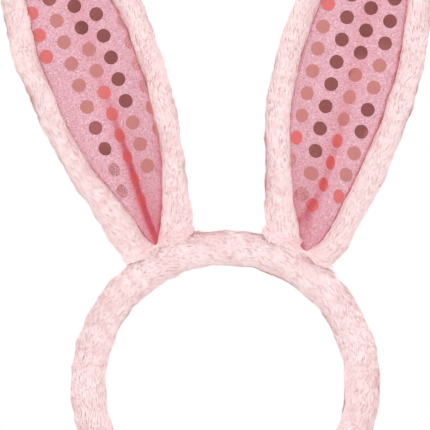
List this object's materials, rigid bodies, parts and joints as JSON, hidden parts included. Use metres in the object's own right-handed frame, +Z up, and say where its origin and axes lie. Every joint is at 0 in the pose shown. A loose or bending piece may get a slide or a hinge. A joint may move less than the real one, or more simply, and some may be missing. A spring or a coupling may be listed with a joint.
{
  "type": "animal ears headband",
  "caption": "Plush bunny ears on a sprung, padded headband; the wired ears have cupped dotted linings, tilt at the root and fold at mid height, and the arms spread.",
  "frame": {"origin": "underside of the band's crown, where it rests on a head", "axes": "+Z up along the ears, -Y the front with the linings, +X to the right as seen from the front"},
  "size_m": [0.2281, 0.0236, 0.3174],
  "materials": {
    "plush": "short soft pile, brushed in swirls",
    "lining": "shimmering knit",
    "foil": "rose metallised foil transfer",
    "wadding": "loose white fibre",
    "wire": "plastic coated soft steel wire",
    "plastic": "moulded satin",
    "thread": "spun polyester thread"
  },
  "bodies": {
    "crown": {"band_core": "plastic", "band_wadding": "wadding", "sleeve_crown": "plush", "sleeve_seam": "thread"},
    "left_arm": {"left_sleeve": "plush", "left_sleeve_end": "plush"},
    "right_arm": {"right_sleeve": "plush", "right_sleeve_end": "plush"},
    "left_ear": {"left_ear_base": "plush", "left_ear_stitches": "thread", "left_ear_wire": "wire", "left_ear_wadding": "wadding", "left_ear_rim": "plush", "left_ear_back": "plush", "left_ear_lining": "lining", "left_ear_dots": "foil"},
    "left_ear_tip": {"left_tip_wire": "wire", "left_tip_wadding": "wadding", "left_tip_rim": "plush", "left_tip_back": "plush", "left_tip_lining": "lining", "left_tip_dots": "foil"},
    "right_ear": {"right_ear_base": "plush", "right_ear_stitches": "thread", "right_ear_wire": "wire", "right_ear_wadding": "wadding", "right_ear_rim": "plush", "right_ear_back": "plush", "right_ear_lining": "lining", "right_ear_dots": "foil"},
    "right_ear_tip": {"right_tip_wire": "wire", "right_tip_wadding": "wadding", "right_tip_rim": "plush", "right_tip_back": "plush", "right_tip_lining": "lining", "right_tip_dots": "foil"}
  },
  "joints": [
    {"name": "left_arm_spread", "type": "hinge", "parent": "crown", "child": "left_arm", "pos_m": [-0.05516, 0, -0.01652], "axis": [0, 1, 0], "range_deg": [0, 8], "stiffness_Nm_per_rad": 1, "deforming": ["band_core", "band_wadding", "sleeve_seam"]},
    {"name": "right_arm_spread", "type": "hinge", "parent": "crown", "child": "right_arm", "pos_m": [0.05516, 0, -0.01652], "axis": [0, -1, 0], "range_deg": [0, 8], "stiffness_Nm_per_rad": 1, "deforming": ["band_core", "band_wadding", "sleeve_seam"]},
    {"name": "left_ear_tilt", "type": "hinge", "parent": "crown", "child": "left_ear", "pos_m": [-0.03088, 0, 0.00136], "axis": [0.9011, 0, 0.4337], "range_deg": [-30, 30]},
    {"name": "left_ear_fold", "type": "hinge", "parent": "left_ear", "child": "left_ear_tip", "pos_m": [-0.06848, -0.004, 0.09934], "axis": [0.9373, 0, 0.3486], "range_deg": [-20, 75]},
    {"name": "right_ear_tilt", "type": "hinge", "parent": "crown", "child": "right_ear", "pos_m": [0.03321, 0, 0.00018], "axis": [0.8846, 0, -0.4664], "range_deg": [-30, 30]},
    {"name": "right_ear_fold", "type": "hinge", "parent": "right_ear", "child": "right_ear_tip", "pos_m": [0.06346, -0.004, 0.10047], "axis": [0.9641, 0, -0.2656], "range_deg": [-20, 75]}
  ],
  "couplings": [
    {"joint": "right_arm_spread", "follows": "left_arm_spread", "ratio": 1}
  ]
}
